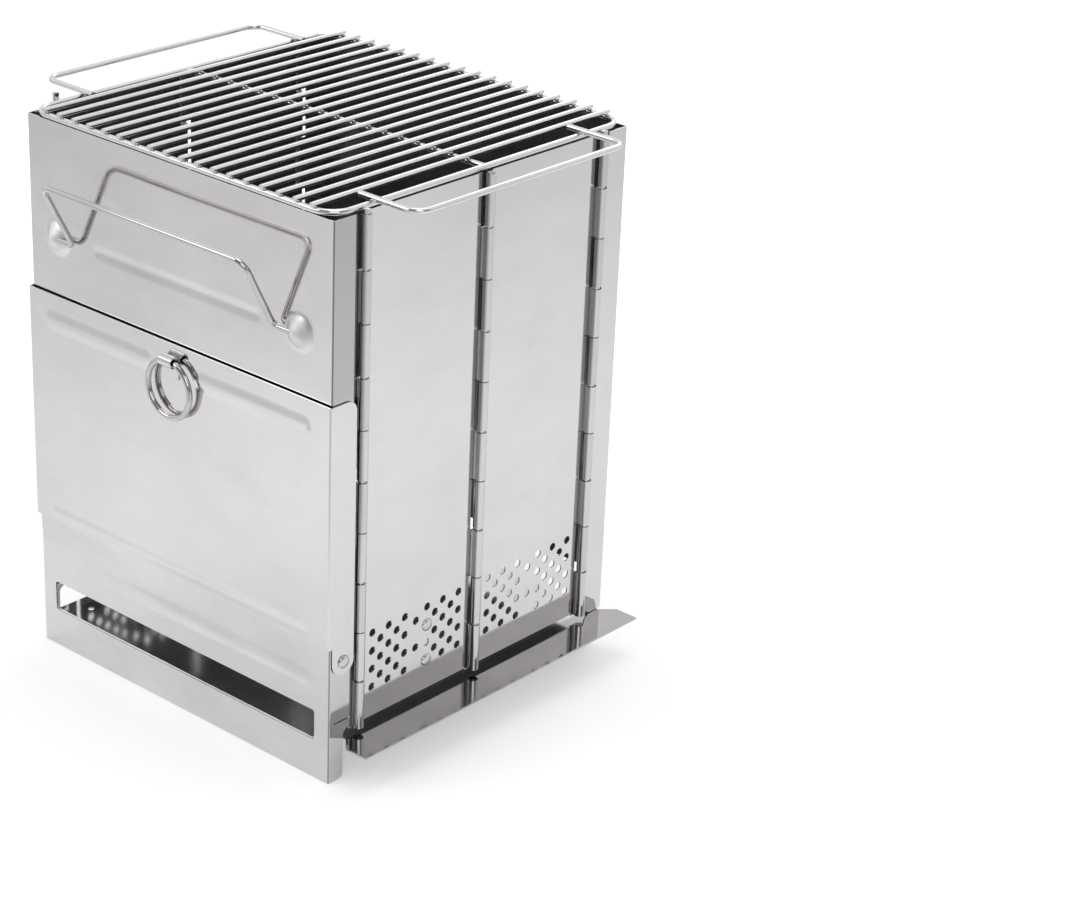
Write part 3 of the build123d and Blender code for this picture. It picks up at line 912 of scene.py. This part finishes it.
grip_bend = 0.008
for side, outwards in (("right", 1), ("left", -1)):
    low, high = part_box(f"grill_handle_{side}")
    grip_wire = (high.z - low.z) / 2
    grip_z = (low.z + high.z) / 2
    outer = (high.x - grip_wire) if outwards > 0 else (low.x + grip_wire)
    inner = low.x if outwards > 0 else high.x
    grip = wire_piece(
        f"grill_grip_{side}",
        [
            (inner, low.y + grip_wire, grip_z),
            (outer, low.y + grip_wire, grip_z),
            (outer, high.y - grip_wire, grip_z),
            (inner, high.y - grip_wire, grip_z),
        ],
        [0.0, grip_bend, grip_bend, 0.0],
        grip_wire,
        grill_steel,
    )
    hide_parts(f"grill_handle_{side}")
    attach(grip, "grill")


# ---------------------------------------------------------------------------------------------
# Studio. A pale floor, soft lamps and the camera at the photograph's angle. None of it belongs
# to the stove.
# ---------------------------------------------------------------------------------------------

def ray_kinds(tone):
    """Whether a ray comes straight from the camera, and whether it is a reflection."""
    path = tone.add("ShaderNodeLightPath").socket.node
    return [Tone(tone.tree, path.outputs[kind]) for kind in ("Is Camera Ray", "Is Glossy Ray")]


floor_half, floor_z = 6.0, -0.0002
floor_mesh = bpy.data.meshes.new("studio_floor")
floor_mesh.from_pydata(
    [(-floor_half, -floor_half, floor_z), (floor_half, -floor_half, floor_z),
     (floor_half, floor_half, floor_z), (-floor_half, floor_half, floor_z)],
    [],
    [(0, 1, 2, 3)],
)
studio_floor = bpy.data.objects.new("studio_floor", floor_mesh)
bpy.context.scene.collection.objects.link(studio_floor)
pale_floor = bpy.data.materials.new("pale_floor")
pale_floor.use_nodes = True
pale_floor.node_tree.nodes.clear()
tone = Tone(pale_floor.node_tree)
camera_ray, glossy_ray = ray_kinds(tone)
matte = tone.add("ShaderNodeBsdfDiffuse", {}, {"Color": (0.8, 0.8, 0.8, 1.0)})
ground = tone.add("ShaderNodeTexCoord", output="Object")
ground_x, ground_y = tone.parts(ground, 0, 1)
reach = tone.length(ground)
near = reach.ramp(1.1, 0.45)
# Painted shade and light on the floor: the camera sees it a little darker near the stove, and the
# metal mirrors it a little lighter there
camera_glow_painted_shade = 0.74 - near * 0.4  # what the camera sees is a little darker near the stove
mirrored_glow_painted_light = 0.02 + near * 0.24  # what the metal mirrors is a little lighter there
glow = tone.add(
    "ShaderNodeEmission",
    {},
    {
        "Color": (1.0, 1.0, 1.0, 1.0),
        "Strength": camera_ray * camera_glow_painted_shade + glossy_ray * mirrored_glow_painted_light,
    },
)
both = tone.add("ShaderNodeAddShader", {}, {0: matte, 1: glow})

# Painted dark reflection, seen only in reflections: a stand-in for the dark room behind the camera,
# and a little of it to the left
dark_way = (0.423, -0.906)  # from the stove towards the dark part of the room
ahead = tone.math("DIVIDE", ground_x * dark_way[0] + ground_y * dark_way[1], reach)
behind_camera = ahead.ramp(0.72, 0.8867) * reach.ramp(0.34, 0.4511) * 0.3
leftwards = ground_x.ramp(-0.15, -0.4) * 0.13
painted_dark = tone.add("ShaderNodeBsdfDiffuse", {}, {"Color": (0.01, 0.01, 0.01, 1.0)})
shade = glossy_ray * (behind_camera + leftwards).limit()
seen = tone.add("ShaderNodeMixShader", {}, {0: shade, 1: both, 2: painted_dark})
tone.close("ShaderNodeOutputMaterial", seen)
floor_mesh.materials.append(pale_floor)

world = bpy.data.worlds.new("studio_air")
world.use_nodes = True
world.node_tree.nodes.clear()
bpy.context.scene.world = world
tone = Tone(world.node_tree)
camera_ray, glossy_ray = ray_kinds(tone)
toward = tone.add("ShaderNodeTexCoord", output="Generated")
toward_x, toward_y = tone.parts(toward, 0, 1)
plain_air = 0.62  # strength of the light on matte surfaces
dim_side, bright_side = 0.3, 0.95  # what metal mirrors: on the camera's side, behind the stove
away_from_camera = toward_y * 0.766 - toward_x * 0.643
backdrop = dim_side + (bright_side - dim_side) * away_from_camera.ramp(-0.45, 0.2)
strength = plain_air + glossy_ray * (backdrop - plain_air) + camera_ray * (1.0 - plain_air)
air = tone.add("ShaderNodeBackground", {}, {"Color": (1.0, 1.0, 1.0, 1.0), "Strength": strength})
tone.close("ShaderNodeOutputWorld", air)

lamps_aim = Vector((0.0, 0.0, 0.12))
for name, place, size, power in (
    ("key_lamp", (-1.3, -1.9, 1.9), 1.6, 18.0),
    ("fill_lamp", (1.9, -1.3, 1.5), 1.5, 11.0),
    ("top_lamp", (0.1, 0.3, 2.4), 1.4, 9.0),
    ("back_lamp", (-0.6, 2.2, 1.6), 1.4, 9.0),
):
    glow = bpy.data.lights.new(name, "AREA")
    glow.shape = "SQUARE"
    glow.size = size
    glow.energy = power
    lamp = bpy.data.objects.new(name, glow)
    bpy.context.scene.collection.objects.link(lamp)
    lamp.location = place
    lamp.rotation_mode = "QUATERNION"
    lamp.rotation_quaternion = (lamps_aim - Vector(place)).to_track_quat("-Z", "Y")

turn, tilt, roll = math.radians(40.0), math.radians(24.67), math.radians(2.6)
away = 1.48018  # metres from the aim
aim = Vector((0.0, 0.0, 0.15))
slide = (-0.11838, 0.03443)  # the stove's place left of and above the middle of the picture
picture_width, focal_pixels = 1076.0, 2807.98
backward = Vector(
    (math.sin(turn) * math.cos(tilt), -math.cos(turn) * math.cos(tilt), math.sin(tilt))
)
level = Vector((math.cos(turn), math.sin(turn), 0.0))
upright = backward.cross(level)
rightward = level * math.cos(roll) + upright * math.sin(roll)
upward = upright * math.cos(roll) - level * math.sin(roll)
lens = bpy.data.cameras.new("camera")
lens.sensor_fit = "HORIZONTAL"
lens.sensor_width = 36.0
lens.lens = focal_pixels / picture_width * lens.sensor_width
lens.clip_start = 0.05
lens.clip_end = 40.0
camera = bpy.data.objects.new("camera", lens)
bpy.context.scene.collection.objects.link(camera)
spot = aim - rightward * slide[0] - upward * slide[1] + backward * away
camera.matrix_world = Matrix(
    (
        (rightward.x, upward.x, backward.x, spot.x),
        (rightward.y, upward.y, backward.y, spot.y),
        (rightward.z, upward.z, backward.z, spot.z),
        (0.0, 0.0, 0.0, 1.0),
    )
)
bpy.context.scene.camera = camera
bpy.context.scene.view_settings.view_transform = "Standard"
